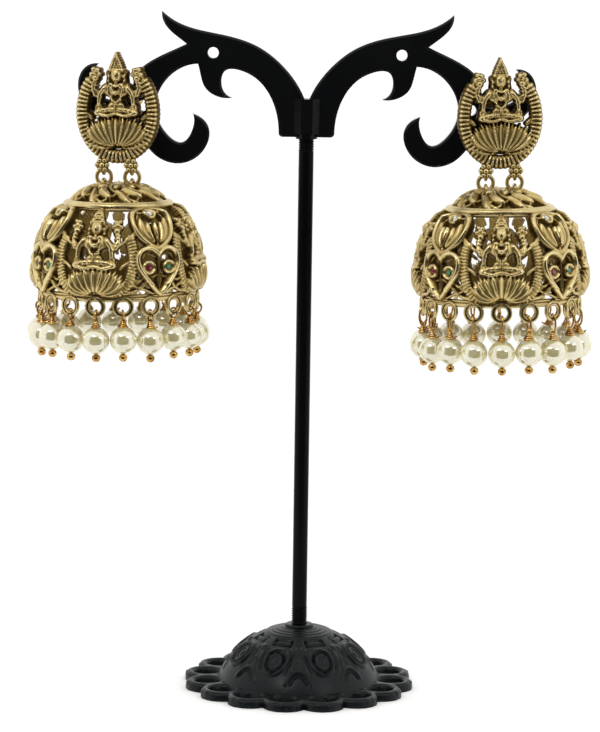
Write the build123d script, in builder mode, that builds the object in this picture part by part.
from build123d import *
import math
import os
from collections import namedtuple

# A pair of dome-shaped drop earrings hanging on a black display stand, in millimetres.
# +Z is up, the stand's foot rests on Z = 0 with its axis on Z, and the wearer's side faces -Y.
# Each earring is modelled in its own frame (x to the right, y backwards, heights as on the
# stand, x = 0 on the earring's middle and y = 0 on the arms' middle plane) and then placed.

# ---------------------------------------------------------------- stand: driving dimensions
FLANGE_THICK = 1.9
LOBE_COUNT = 16
LOBE_PHASE = -8.0           # degrees from the front to the first lobe
LOBE_CENTRE_R = 18.8
LOBE_R = 4.3
LOBE_HOLE_R = 2.5
DOME_R = 16.4
DOME_TOP = 12.3
DOME_WALL = 1.8
MEDAL_COUNT = 8             # raised ovals round the dome
BOSS_R = 4.0                # socket for the post, under the dome
BOSS_BOTTOM = 0.0           # the boss stands on the table, as the flange does
POST_R = 1.5
THREAD_R = 1.6
POST_BOTTOM = 6.0
POST_TOP = 118.0
LOWER_THREAD_TOP = 16.0
UPPER_THREAD_BOTTOM = 109.0
SOCKET_CLEARANCE = 0.05
ARM_THICK = 3.0
ARM_EDGE = 0.4              # bevel of the arms' long edges
HUB_ACROSS_FLATS = 5.65
HUB_BOTTOM = 112.4
HUB_TOP = 119.4
HUB_COLLAR_R = 2.15         # round collar under the hub, where the post enters
HUB_COLLAR_BOTTOM = 111.4
PEG_HOLE_R = 1.1
EYE_HOLE = (18.7, 128.25)
HOOK_HOLE = (32.55, 117.6)

# ---------------------------------------------------------------- earrings: driving dimensions
STUD_BACK = -3.8            # y of the stud's flat back
STUD_PLATE = 1.2
STUD_MIDDLE = 116.3         # height of the stud's widest place
STUD_FRAME = 1.9            # depth of its ribbed border
STUD_TOP = 128.3
PIN_R = 0.45                # the ear post
PIN_Z = 118.95
PIN_BACK = 7.0
CLUTCH_R = 2.3
CLUTCH_FRONT = 2.35
CLUTCH_LONG = 3.6
HANGER_Y = -5.0             # the bell's axis and the rings' plane
HINGE_Z = 105.1             # the eyelets' holes, on which the drop swings
RING_X = 2.9
RING_R = 1.5                # middle of the wire
RING_WIRE = 0.8
BEAD_R = 0.5
ROSETTE_X = 2.98
ROSETTE_Z = 106.0

# The bell's wall is a super-ellipse turned round its axis, with a spherical cap on top.
BELL_R = 16.0
BELL_WIDEST = 84.0
BELL_RISE = 17.55
BELL_POWER = 2.3
BELL_WALL = 0.9
MOUTH_R = 15.3
MOUTH_Z = 81.0
CAP_R = 10.2
CAP_Z = 98.5
CAP_TOP = 102.6
RIM_WIRE = 0.9
CAP_LOOP_R = 0.95           # middle of the wire of the two loops on the cap
CAP_LOOP_WIRE = 0.66
RELIEF = 1.3                # how far the ornament stands out of the wall
MOTIF_COUNT = 4             # seated figures, with a heart and bud between each two
EYELET_COUNT = 18
EYELET_R = 1.6
EYELET_WIRE = 1.0
EYELET_Z = 79.5
HANG_R = 15.6               # the circle the eyelets and pearls hang on
PEARL_R = 2.65
PEARL_BORE_R = 0.4
HEADPIN_R = 0.3
HEADPIN_BALL_R = 0.85
HEADPIN_WRAP_R = 0.62
BEZEL_R = 1.35
STONE_R = 0.8
STONE_LONG = 0.9

# Each earring hangs at x, turned a little about the upright and leaning a little to the left
# about its ear post (degrees); its bell may be turned further on its rings, and its hand-bent
# headpins hold the pearls at its own height.
Earring = namedtuple("Earring", "side x turn lean bell_turn pearl_z")
EARRINGS = (
    Earring("left", -36.2, -13.0, 0.6, 0.0, 72.9),
    Earring("right", 37.65, 5.0, 1.5, -8.0, 71.5),
)

# Each setting of a heart-and-bud motif: how far it lies from the motif's middle, and its height.
Setting = namedtuple("Setting", "name along z")
SETTINGS = (
    Setting("ruby", -2.05, 87.1),
    Setting("green", 2.05, 87.1),
    Setting("clear", 0.0, 96.8),
)


def bell_radius(z, inset=0.0):
    """Radius of the bell's wall at a height, on its outside or a little inside it."""
    if z <= BELL_WIDEST:
        return BELL_R - inset - (BELL_R - MOUTH_R) * (BELL_WIDEST - z) / (BELL_WIDEST - MOUTH_Z)
    share = min((z - BELL_WIDEST) / (BELL_RISE - inset), 1.0)
    return (BELL_R - inset) * (1 - share**BELL_POWER) ** (1 / BELL_POWER)


def facing(angle):
    """Upright plane through the bell's axis that faces outwards, angle degrees right of the front."""
    a = math.radians(angle)
    return Plane((0, 0, 0), x_dir=(math.cos(a), math.sin(a), 0), z_dir=(math.sin(a), -math.cos(a), 0))


def wall_plane(angle, along, z):
    """Plane on the bell's wall, square to it, some way along the wall from an angle."""
    turned = angle + math.degrees(along / bell_radius(z))
    step = 0.05
    slope = (bell_radius(z + step) - bell_radius(z - step)) / (2 * step)
    outwards = Vector(1, 0, -slope).normalized()
    a = math.radians(turned)
    normal = (math.sin(a) * outwards.X, -math.cos(a) * outwards.X, outwards.Z)
    radius = bell_radius(z)
    spot = (radius * math.sin(a), -radius * math.cos(a), z)
    return Plane(origin=spot, x_dir=(math.cos(a), math.sin(a), 0), z_dir=normal)


def pearl_seat(index, pearl_z):
    """Angle and height of one pearl, with the small unevenness of hand-wired beads."""
    angle = 360 / EYELET_COUNT * index + 0.2 * math.sin(5.1 * index + 1)
    height = pearl_z + 0.2 * math.sin(2.4 * index)
    return angle, height


# ---------------------------------------------------------------- stand
dome_rise = DOME_TOP - FLANGE_THICK
dome_sphere_r = (DOME_R**2 + dome_rise**2) / (2 * dome_rise)
dome_sphere_z = DOME_TOP - dome_sphere_r

with BuildPart() as stand_base:
    with BuildSketch():
        Circle(LOBE_CENTRE_R)
        with PolarLocations(LOBE_CENTRE_R, LOBE_COUNT, start_angle=-90 + LOBE_PHASE):
            Circle(LOBE_R)
        with PolarLocations(LOBE_CENTRE_R, LOBE_COUNT, start_angle=-90 + LOBE_PHASE):
            Circle(LOBE_HOLE_R, mode=Mode.SUBTRACT)
    extrude(amount=FLANGE_THICK)
    fillet(stand_base.faces().sort_by(Axis.Z)[-1].outer_wire().edges(), radius=0.7)
    # the dome, and the raised ovals and arches that stand a little out of it
    with Locations((0, 0, dome_sphere_z)):
        Sphere(dome_sphere_r)
    for medal in range(MEDAL_COUNT):
        turn = 360 / MEDAL_COUNT * (medal + 0.5)
        radial = facing(turn).z_dir
        tilt = math.radians(38)
        out = Vector(radial.X * math.cos(tilt), radial.Y * math.cos(tilt), math.sin(tilt))
        seat = Vector(0, 0, dome_sphere_z) + out * (dome_sphere_r - 0.6)
        with BuildSketch(Plane(origin=seat, x_dir=facing(turn).x_dir, z_dir=out)):
            Ellipse(2.5, 3.2)
            Ellipse(1.8, 2.5, mode=Mode.SUBTRACT)
            Ellipse(1.0, 1.5)
        extrude(amount=0.95)
    with Locations((0, 0, dome_sphere_z)):
        Sphere(dome_sphere_r - DOME_WALL, mode=Mode.SUBTRACT)
    with BuildSketch(Plane.XY.offset(BOSS_BOTTOM)):
        Circle(BOSS_R)
    extrude(amount=DOME_TOP - BOSS_BOTTOM - 0.4)
    with BuildSketch(Plane.XY.offset(POST_BOTTOM)):
        Circle(THREAD_R + SOCKET_CLEARANCE)
    extrude(amount=DOME_TOP, mode=Mode.SUBTRACT)
    # nothing of the dome reaches below the foot
    with BuildSketch(Plane.XY):
        Circle(2 * DOME_R)
    extrude(amount=-2 * dome_sphere_r, mode=Mode.SUBTRACT)

with BuildPart() as stand_post:
    with BuildSketch(Plane.XY.offset(POST_BOTTOM)):
        Circle(POST_R)
    extrude(amount=POST_TOP - POST_BOTTOM)
    with BuildSketch(Plane.XY.offset(POST_BOTTOM)):
        Circle(THREAD_R)
    extrude(amount=LOWER_THREAD_TOP - POST_BOTTOM)
    with BuildSketch(Plane.XY.offset(UPPER_THREAD_BOTTOM)):
        Circle(THREAD_R)
    extrude(amount=POST_TOP - UPPER_THREAD_BOTTOM)


def arm_outline():
    """The right arm in the plane of x and z: each run lies between two corners or tips."""
    top = Spline(
        (0.5, 119.4), (2.3, 122.7), (5.4, 126.3), (9.4, 129.3), (16.9, 131.8), (23.1, 133.1), (28.9, 136.3),
    )
    plume = Spline(top @ 1, (28.4, 133.9), (26.6, 131.9), (24.0, 129.9))
    fork = Spline(
        plume @ 1, (29.9, 127.1), (34.3, 123.0), (34.8, 120.3), (35.9, 118.43), (37.7, 118.38), (40.6, 119.2),
        (42.4, 121.9), (41.4, 125.8),
    )
    hook = Spline(
        fork @ 1, (44.5, 124.6), (45.5, 121.7), (44.0, 117.4), (39.5, 114.4), (34.4, 112.3), (29.7, 107.5),
        (25.2, 106.2), (21.1, 108.1), (19.3, 112.1), (22.6, 116.1),
    )
    band = Spline(
        hook @ 1, (22.7, 113.0), (24.7, 110.4), (28.3, 112.6), (30.0, 118.5), (27.4, 123.4), (21.7, 126.0),
    )
    spur = Spline(band @ 1, (21.15, 123.7), (20.3, 121.4), (18.2, 119.75), (14.9, 119.4))
    arch = Spline(
        spur @ 1, (17.0, 121.9), (16.4, 124.6), (12.4, 124.5), (8.6, 121.75), (6.15, 116.9), (5.55, 112.7),
    )
    corner = ThreePointArc(arch @ 1, (5.3, 112.0), (4.75, 111.78))
    Polyline(corner @ 1, (0, 111.78), (0, 119.4), top @ 0)


with BuildPart() as stand_arms:
    with BuildSketch(Plane.XZ.offset(-ARM_THICK / 2)):
        with BuildLine():
            arm_outline()
        make_face()
        with Locations(EYE_HOLE, HOOK_HOLE):
            Circle(PEG_HOLE_R, mode=Mode.SUBTRACT)
        mirror(about=Plane.YZ)
    extrude(amount=ARM_THICK)
    front_and_back = stand_arms.faces().sort_by(Axis.Y)
    long_edges = front_and_back[0].outer_wire().edges() + front_and_back[-1].outer_wire().edges()
    chamfer(long_edges, length=ARM_EDGE)
    with BuildSketch(Plane.XY.offset(HUB_BOTTOM)):
        RegularPolygon(HUB_ACROSS_FLATS / 2, 8, major_radius=False, rotation=22.5)
    extrude(amount=HUB_TOP - HUB_BOTTOM)
    with BuildSketch(Plane.XY.offset(HUB_COLLAR_BOTTOM)):
        Circle(HUB_COLLAR_R)
    extrude(amount=HUB_BOTTOM - HUB_COLLAR_BOTTOM)
    with BuildSketch(Plane.XY.offset(HUB_COLLAR_BOTTOM)):
        Circle(THREAD_R + SOCKET_CLEARANCE)
    extrude(amount=POST_TOP - HUB_COLLAR_BOTTOM, mode=Mode.SUBTRACT)

# ---------------------------------------------------------------- stud
RIB_OUT = (8.25, 9.9, 8.7)      # half width, drop and rise of the ribbed border's outside
RIB_IN = (5.9, 7.0, 10.4)
FRAME_TOP = 122.9               # the border is open above this height


def egg(half_width, drop, rise, middle):
    """Egg-shaped face, wider at its middle height."""
    with BuildSketch() as face:
        with BuildLine():
            EllipticalCenterArc((0, middle), half_width, drop, 180, arc_size=180)
            EllipticalCenterArc((0, middle), half_width, rise, 0, arc_size=180)
        make_face()
    return face.sketch


def open_border(outside, inside, middle, top):
    """Ribbed border between two eggs, open above a height."""
    with BuildSketch() as face:
        add(egg(*outside, middle))
        with Locations((0, top + 10)):
            Rectangle(40, 20, mode=Mode.SUBTRACT)
        add(egg(*inside, middle), mode=Mode.SUBTRACT)
    return face.sketch


def lotus_fan(foot, rim, foot_half, rim_half):
    """The fan of petals under the seated figure."""
    bulge = (0.78 * rim_half, foot + 0.35 * (rim - foot))
    with BuildSketch() as face:
        with BuildLine():
            right = ThreePointArc((foot_half, foot), bulge, (rim_half, rim))
            left = ThreePointArc((-foot_half, foot), (-bulge[0], bulge[1]), (-rim_half, rim))
            Polyline(right @ 1, (0, rim + 0.35), left @ 1)
            Line(right @ 0, left @ 0)
        make_face()
    return face.sketch


def seated_figure(seat, size):
    """A seated figure with raised arms, from its seat up to the tip of its crown."""

    def up(x, z):
        return (x * size, seat + z * size)

    right_side = [(3.9, -0.3), (3.4, 1.2), (1.7, 2.6), (1.6, 3.7), (2.7, 5.4), (0.9, 6.1), (0.8, 7.2)]
    left_side = [(-x, z) for x, z in reversed(right_side)]
    with BuildSketch() as face:
        with BuildLine():
            Polyline(*[up(x, z) for x, z in right_side + left_side], close=True)
        make_face()
        with Locations(up(0, 8.0)):
            Circle(1.35 * size)
        with BuildLine():
            Polyline(up(1.9, 8.8), up(0.25, 12.4), up(-0.25, 12.4), up(-1.9, 8.8), close=True)
        make_face()
        for hand in (-1, 1):
            with BuildLine() as raised:
                Polyline(up(2.0 * hand, 5.2), up(4.6 * hand, 6.4), up(3.6 * hand, 9.0))
            trace(raised.line, line_width=1.1)
            with BuildLine() as lowered:
                Polyline(up(2.0 * hand, 4.8), up(3.8 * hand, 3.6), up(3.7 * hand, 0.6))
            trace(lowered.line, line_width=1.1)
            with Locations(up(3.6 * hand, 9.0)):
                Circle(0.75 * size)
    return face.sketch


border = open_border(RIB_OUT, RIB_IN, STUD_MIDDLE, FRAME_TOP)

with BuildPart() as stud:
    # flat plate, pierced between the border and the figure
    with BuildSketch(Plane.XZ.offset(-STUD_BACK)):
        add(border)
        add(lotus_fan(109.0, 115.4, 2.2, 6.2))
        add(seated_figure(115.2, 1.0))
        for hand in (-1, 1):
            with Locations((4.2 * hand, 122.9)):
                Circle(0.9)
    extrude(amount=STUD_PLATE)
    with BuildSketch(Plane.XZ.offset(-STUD_BACK)):
        add(border)
    extrude(amount=STUD_FRAME)
    with BuildSketch(Plane.XZ.offset(-STUD_BACK)):
        add(lotus_fan(109.6, 115.3, 2.0, 5.7))
    extrude(amount=2.4)
    with BuildSketch(Plane.XZ.offset(-STUD_BACK)):
        add(seated_figure(115.2, 0.97))
    extrude(amount=2.0)
    with Locations((0, STUD_BACK - 1.9, 123.3)):
        Sphere(1.4)
    with Locations((0, STUD_BACK - 1.2, STUD_TOP - 2.1)):
        Cone(2.1, 0.2, 4.2)
    # the back stays flat
    with BuildSketch(Plane.XZ.offset(-STUD_BACK)):
        with Locations((0, STUD_MIDDLE)):
            Rectangle(30, 30)
    extrude(amount=-6, mode=Mode.SUBTRACT)
    # rosettes of seven grains, each in front of an eyelet for a ring
    for side in (-1, 1):
        with Locations((side * ROSETTE_X, HANGER_Y - 1.3, ROSETTE_Z)):
            Sphere(BEAD_R)
        for grain in range(6):
            around = math.radians(60 * grain)
            spot = (side * ROSETTE_X + math.cos(around), HANGER_Y - 1.3, ROSETTE_Z + math.sin(around))
            with Locations(spot):
                Sphere(BEAD_R)
        with BuildSketch(Plane.XZ.offset(-HANGER_Y + 0.75)):
            with Locations((side * ROSETTE_X, ROSETTE_Z)):
                Circle(1.35)
        extrude(amount=0.55)
        with BuildSketch(Plane.YZ.offset(side * RING_X - 0.45)):
            with Locations((HANGER_Y, HINGE_Z)):
                Circle(1.2)
            with Locations((HANGER_Y + 0.2, HINGE_Z + 1.5)):
                Rectangle(1.6, 2.0)
            with Locations((HANGER_Y, HINGE_Z)):
                Circle(0.55, mode=Mode.SUBTRACT)
        extrude(amount=0.9)
    # the ear post
    with BuildSketch(Plane.XZ.offset(-PIN_BACK)):
        with Locations((0, PIN_Z)):
            Circle(PIN_R)
    extrude(amount=PIN_BACK - STUD_BACK + 0.5)

with BuildPart() as clutch:
    with BuildSketch(Plane.XZ.offset(-CLUTCH_FRONT)):
        with Locations((0, PIN_Z)):
            Circle(CLUTCH_R)
            Circle(PIN_R + 0.03, mode=Mode.SUBTRACT)
    extrude(amount=-CLUTCH_LONG)
    fillet(clutch.faces().sort_by(Axis.Y)[-1].outer_wire().edges(), radius=0.8)


def jump_ring(side):
    """Plain jump ring that joins an eyelet of the stud to a loop of the bell."""
    with BuildPart() as ring:
        with Locations(Plane.XZ.offset(-HANGER_Y)):
            with Locations((side * RING_X, HINGE_Z - RING_R)):
                Torus(RING_R, RING_WIRE / 2)
    return ring


# ---------------------------------------------------------------- bell
WALL_HEIGHTS = (MOUTH_Z, 88.0, 93.0, 96.4, CAP_Z)
CAP_RADII = (5.2, 0.0)


def cap_height(radius):
    """Height of the cap's round top at a distance from the axis."""
    rise = CAP_TOP - CAP_Z
    sphere_r = (CAP_R**2 + rise**2) / (2 * rise)
    return CAP_TOP - sphere_r + math.sqrt(sphere_r**2 - radius**2)


def turned_shell(outset, depth, with_cap):
    """Turned shell that follows the bell, from some way outside its wall to some way inside."""
    with BuildPart() as shell:
        with BuildSketch(Plane.XZ):
            with BuildLine():
                outer = [(bell_radius(z) + outset, z) for z in WALL_HEIGHTS]
                inner = [(bell_radius(z) - depth, z) for z in WALL_HEIGHTS]
                if with_cap:
                    outer += [(radius, cap_height(radius)) for radius in CAP_RADII]
                    inner += [(radius, cap_height(radius) - depth) for radius in CAP_RADII]
                Polyline(*outer, *reversed(inner), close=True)
            make_face()
        revolve(axis=Axis.Z)
    return shell


def mirrored(*right_side):
    """Face with straight edges from a list of points down its right side."""
    left_side = [(-x, z) for x, z in reversed(right_side)]
    with BuildSketch() as face:
        with BuildLine():
            Polyline(*right_side, *left_side, close=True)
        make_face()
    return face.sketch


def band(outer, inner):
    """Band between two faces."""
    with BuildSketch() as face:
        add(outer)
        add(inner, mode=Mode.SUBTRACT)
    return face.sketch


def both_sides(*outlines):
    """Faces with straight edges on the right, and the same ones mirrored."""
    with BuildSketch() as faces:
        for outline in outlines:
            for side in (-1, 1):
                with BuildLine():
                    Polyline(*[(side * x, z) for x, z in outline], close=True)
                make_face()
    return faces.sketch


HEART = band(
    mirrored((0.01, 90.2), (2.6, 91.7), (4.9, 90.2), (4.6, 87.2), (0.01, 81.9)),
    mirrored((0.01, 89.0), (2.4, 90.4), (3.7, 89.6), (3.4, 87.4), (0.01, 83.5)),
)
BUD = band(
    mirrored((2.8, 98.4), (4.9, 95.6), (3.4, 93.0), (0.01, 91.3)),
    mirrored((2.2, 97.5), (3.8, 95.4), (2.5, 93.6), (0.01, 92.5)),
)
BORDER = both_sides([
    (6.3, 93.6), (8.3, 91.0), (8.6, 88.0), (7.4, 84.4), (4.6, 81.15),
    (3.2, 82.6), (5.4, 85.2), (6.2, 88.0), (5.9, 90.6), (4.8, 92.4),
])
FIGURE = mirrored(
    (0.3, 98.2), (1.7, 95.6), (1.2, 93.8), (1.5, 92.9), (3.0, 92.0), (1.7, 90.0), (3.4, 87.8), (3.6, 86.6),
    (6.1, 86.5), (5.4, 84.0), (2.6, 81.15),
)
ARMS = both_sides(
    [(2.4, 92.3), (5.0, 93.6), (4.4, 96.3), (3.1, 96.3), (3.7, 94.0), (2.2, 93.0)],
    [(2.2, 91.6), (4.5, 90.0), (4.3, 86.8), (3.2, 86.8), (3.3, 89.6), (1.9, 90.8)],
)


FIGURE_DAYLIGHT = both_sides(
    [(1.9, 97.9), (5.6, 97.9), (6.0, 95.2), (4.9, 95.4), (4.3, 97.0), (2.0, 97.0)],
    [(1.7, 94.6), (2.9, 95.2), (3.7, 93.3), (3.0, 92.5)],
    [(4.6, 91.0), (5.5, 91.4), (6.0, 88.8), (5.8, 87.4), (4.5, 87.6)],
)
HEART_DAYLIGHT = both_sides(
    [(0.5, 89.6), (1.9, 90.4), (3.1, 89.4), (1.9, 88.9)],
    [(0.25, 85.3), (1.6, 85.3), (0.3, 83.5)],
    [(3.4, 92.2), (4.6, 93.2), (5.0, 91.4), (4.1, 91.0)],
    [(3.4, 83.4), (4.9, 82.7), (4.7, 84.9)],
)


def bore_outwards(profile):
    """Cutter that runs out through the wall at the front."""
    with BuildPart() as cutter:
        with BuildSketch(facing(0).offset(6)):
            add(profile)
        extrude(amount=16)
    return cutter


def carve(zone, profile):
    """The part of a turned shell that lies behind a profile drawn at the front."""
    with BuildPart() as piece:
        add(bore_outwards(profile).part)
        add(zone.part, mode=Mode.INTERSECT)
    return piece


def settings_tubes():
    """Short tubes square to the wall at one motif, each with a blind seat for a stone."""
    with BuildPart() as tubes:
        for setting in SETTINGS:
            seat = wall_plane(0, setting.along, setting.z)
            with BuildSketch(seat.offset(-0.5)):
                Circle(BEZEL_R)
            extrude(amount=0.5 + RELIEF)
    return tubes


def settings_seats():
    """The blind seats of one motif's stones."""
    with BuildPart() as seats:
        for setting in SETTINGS:
            seat = wall_plane(0, setting.along, setting.z)
            with BuildSketch(seat.offset(RELIEF - STONE_LONG)):
                Circle(STONE_R + 0.02)
            extrude(amount=STONE_LONG + 1)
    return seats


def rims_and_eyelets(bell_turn):
    """Square-edged rims at the mouth and round the cap, and the eyelets under the mouth."""
    with BuildPart() as trim:
        for radius, height in ((MOUTH_R, MOUTH_Z), (CAP_R, CAP_Z)):
            with BuildSketch(Plane.XY.offset(height - RIM_WIRE / 2)):
                Circle(radius + RIM_WIRE / 2)
                Circle(radius - RIM_WIRE / 2, mode=Mode.SUBTRACT)
            extrude(amount=RIM_WIRE)
        with BuildSketch(*[
            facing(bell_turn + 360 / EYELET_COUNT * index).offset(HANG_R - EYELET_WIRE / 2)
            for index in range(EYELET_COUNT)
        ]):
            with Locations((0, EYELET_Z)):
                Circle(EYELET_R + EYELET_WIRE / 2)
                Circle(EYELET_R - EYELET_WIRE / 2, mode=Mode.SUBTRACT)
        extrude(amount=EYELET_WIRE)
    return trim


def build_bell(bell_turn):
    """The bell: pierced wall with its ornament, cap, rims, settings, eyelets and hanging loops."""
    high_zone = turned_shell(RELIEF, 0.4, with_cap=False)
    low_zone = turned_shell(0.8, 0.4, with_cap=False)
    wall = turned_shell(0.0, BELL_WALL, with_cap=True)
    figure = carve(high_zone, FIGURE)
    surround = [carve(low_zone, profile) for profile in (BORDER, ARMS)]
    bands = [carve(low_zone, profile) for profile in (HEART, BUD)]
    tubes = settings_tubes()
    seats = settings_seats()
    heart_turn = bell_turn + 180 / MOTIF_COUNT
    with BuildPart() as bell:
        add(wall.part)
        with PolarLocations(0, MOTIF_COUNT, start_angle=bell_turn):
            add(bore_outwards(FIGURE_DAYLIGHT).part, mode=Mode.SUBTRACT)
            add(figure.part)
            for piece in surround:
                add(piece.part)
        with PolarLocations(0, MOTIF_COUNT, start_angle=heart_turn):
            add(bore_outwards(HEART_DAYLIGHT).part, mode=Mode.SUBTRACT)
            for piece in bands:
                add(piece.part)
            add(tubes.part)
            add(seats.part, mode=Mode.SUBTRACT)
        add(rims_and_eyelets(bell_turn).part)
        # a slot in the cap under each ring, with a wire loop across it
        for side in (-1, 1):
            with BuildSketch(Plane.XY.offset(CAP_Z + 1.5)):
                with Locations((side * RING_X, 0)):
                    Rectangle(3.5, 1.3)
            extrude(amount=6, mode=Mode.SUBTRACT)
            with BuildSketch(Plane.YZ.offset(side * RING_X - CAP_LOOP_WIRE / 2)):
                with Locations((0, CAP_TOP - 0.4)):
                    Circle(CAP_LOOP_R + CAP_LOOP_WIRE / 2)
                    Circle(CAP_LOOP_R - CAP_LOOP_WIRE / 2, mode=Mode.SUBTRACT)
            extrude(amount=CAP_LOOP_WIRE)
    return bell


def stones_of(setting, bell_turn):
    """The four round stones of one colour, each a low cut dome in its setting."""
    with BuildPart() as stones:
        for motif in range(MOTIF_COUNT):
            angle = bell_turn + 360 / MOTIF_COUNT * (motif + 0.5)
            seat = wall_plane(angle, setting.along, setting.z)
            with BuildSketch(seat.offset(RELIEF - STONE_LONG)):
                Circle(STONE_R)
            extrude(amount=STONE_LONG)
    return stones


def build_pearl(index, earring):
    """One round bead, drilled upright."""
    angle, height = pearl_seat(index, earring.pearl_z)
    a = math.radians(angle + earring.bell_turn)
    with BuildPart() as pearl:
        with Locations((HANG_R * math.sin(a), -HANG_R * math.cos(a), height)):
            Sphere(PEARL_R)
            Cylinder(PEARL_BORE_R, 3 * PEARL_R, mode=Mode.SUBTRACT)
    return pearl


def build_pins(earring):
    """Headpins: a ball under each bead, wire up through it, a wrap, and a loop in the eyelet."""
    loop_r = 0.98
    loop_wire = 0.21
    loop_z = EYELET_Z - EYELET_R
    with BuildPart() as pins:
        for index in range(EYELET_COUNT):
            angle, height = pearl_seat(index, earring.pearl_z)
            a = math.radians(angle + earring.bell_turn)
            spot = (HANG_R * math.sin(a), -HANG_R * math.cos(a))
            bead_top = height + math.sqrt(PEARL_R**2 - HEADPIN_WRAP_R**2) + 0.03
            ball_z = height - PEARL_R - HEADPIN_BALL_R
            with BuildSketch(Plane.XY.offset(ball_z)):
                with Locations(spot):
                    Circle(HEADPIN_R)
            extrude(amount=loop_z - loop_r - ball_z)
            with BuildSketch(Plane.XY.offset(bead_top)):
                with Locations(spot):
                    Circle(HEADPIN_WRAP_R)
            extrude(amount=1.3)
            with Locations((spot[0], spot[1], ball_z)):
                Sphere(HEADPIN_BALL_R)
            side_on = Plane(
                (*spot, loop_z), x_dir=(math.sin(a), -math.cos(a), 0), z_dir=(math.cos(a), math.sin(a), 0)
            )
            with BuildSketch(side_on.offset(-loop_wire)):
                Circle(loop_r + loop_wire)
                Circle(loop_r - loop_wire, mode=Mode.SUBTRACT)
            extrude(amount=2 * loop_wire)
    return pins


# ---------------------------------------------------------------- placing and writing
def place(piece, earring, label, on_bell=False):
    """Stand a piece of an earring where that earring hangs."""
    turn, lean = math.radians(earring.turn), math.radians(earring.lean)
    frame = Plane(
        origin=(earring.x, 0, PIN_Z),
        x_dir=(math.cos(turn) * math.cos(lean), math.sin(turn) * math.cos(lean), math.sin(lean)),
        z_dir=(-math.cos(turn) * math.sin(lean), -math.sin(turn) * math.sin(lean), math.cos(lean)),
    )
    with BuildPart() as placed:
        with Locations(frame):
            with Locations((0, HANGER_Y if on_bell else 0, -PIN_Z)):
                add(piece.part)
    placed.part.label = label
    export_step(placed.part, f"parts/{label}.step")


os.makedirs("parts", exist_ok=True)
stand_base.part.label = "stand_base"
export_step(stand_base.part, "parts/stand_base.step")
stand_post.part.label = "stand_post"
export_step(stand_post.part, "parts/stand_post.step")
stand_arms.part.label = "stand_arms"
export_step(stand_arms.part, "parts/stand_arms.step")

for earring in EARRINGS:
    place(stud, earring, f"{earring.side}_stud")
    place(clutch, earring, f"{earring.side}_clutch")
    place(jump_ring(-1), earring, f"{earring.side}_link_1")
    place(jump_ring(1), earring, f"{earring.side}_link_2")
    place(build_bell(earring.bell_turn), earring, f"{earring.side}_bell", on_bell=True)
    for setting in SETTINGS:
        stones = stones_of(setting, earring.bell_turn)
        place(stones, earring, f"{earring.side}_{setting.name}_stones", on_bell=True)
    for index in range(EYELET_COUNT):
        pearl = build_pearl(index, earring)
        place(pearl, earring, f"{earring.side}_pearl_{index + 1:02d}", on_bell=True)
    place(build_pins(earring), earring, f"{earring.side}_pearl_pins", on_bell=True)
